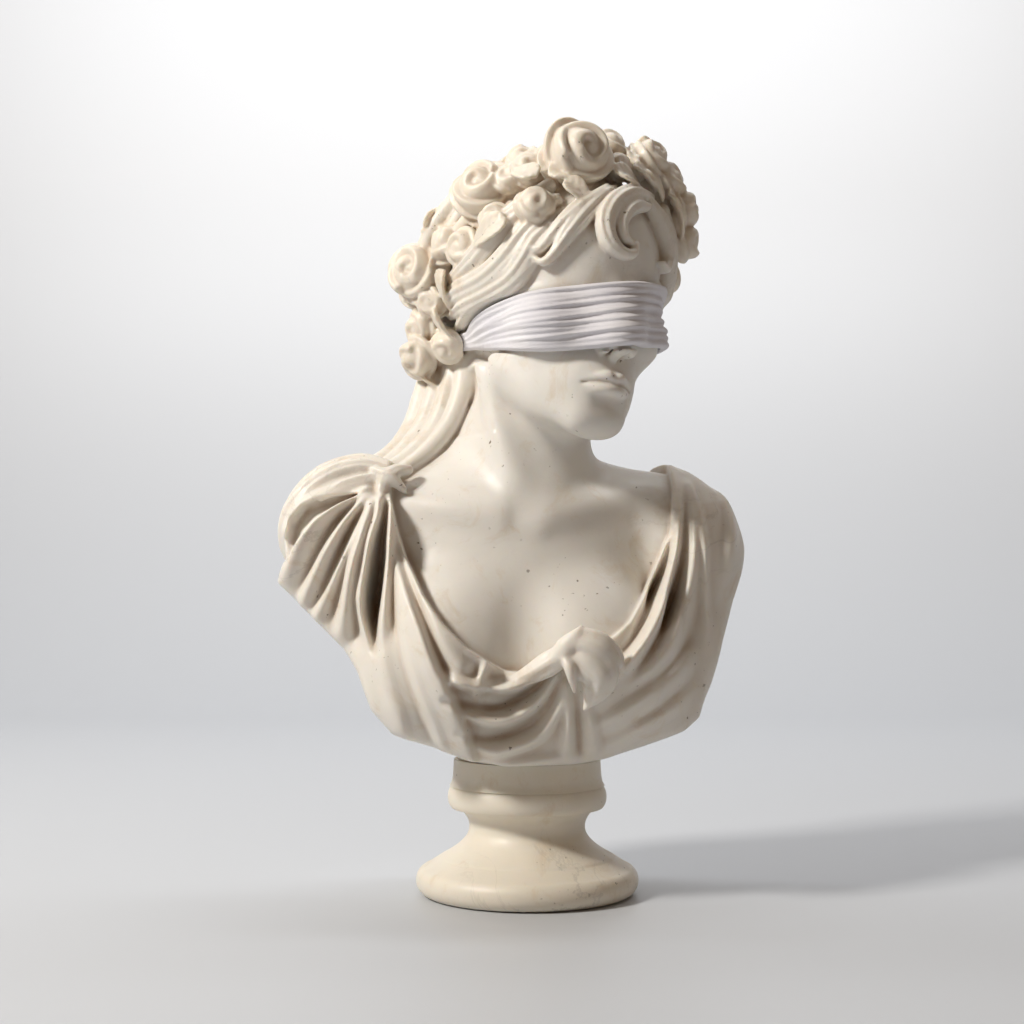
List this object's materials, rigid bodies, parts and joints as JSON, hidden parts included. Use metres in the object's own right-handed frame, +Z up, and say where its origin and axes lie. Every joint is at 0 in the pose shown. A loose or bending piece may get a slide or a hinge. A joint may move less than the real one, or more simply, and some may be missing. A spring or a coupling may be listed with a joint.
{
  "type": "marble bust",
  "caption": "Classical marble bust of a draped woman with a wreath of roses in her hair and a white cloth blindfold, on a turned socle.",
  "frame": {"origin": "middle of the socle's flat underside", "axes": "+Z up, -Y the way the chest faces"},
  "size_m": [0.3951, 0.2395, 0.6313],
  "materials": {
    "marble": "polished",
    "socle_marble": "polished",
    "cloth": "matte"
  },
  "bodies": {
    "root": {"bust": "marble", "blindfold": "cloth", "socle": "socle_marble"}
  },
  "joints": []
}
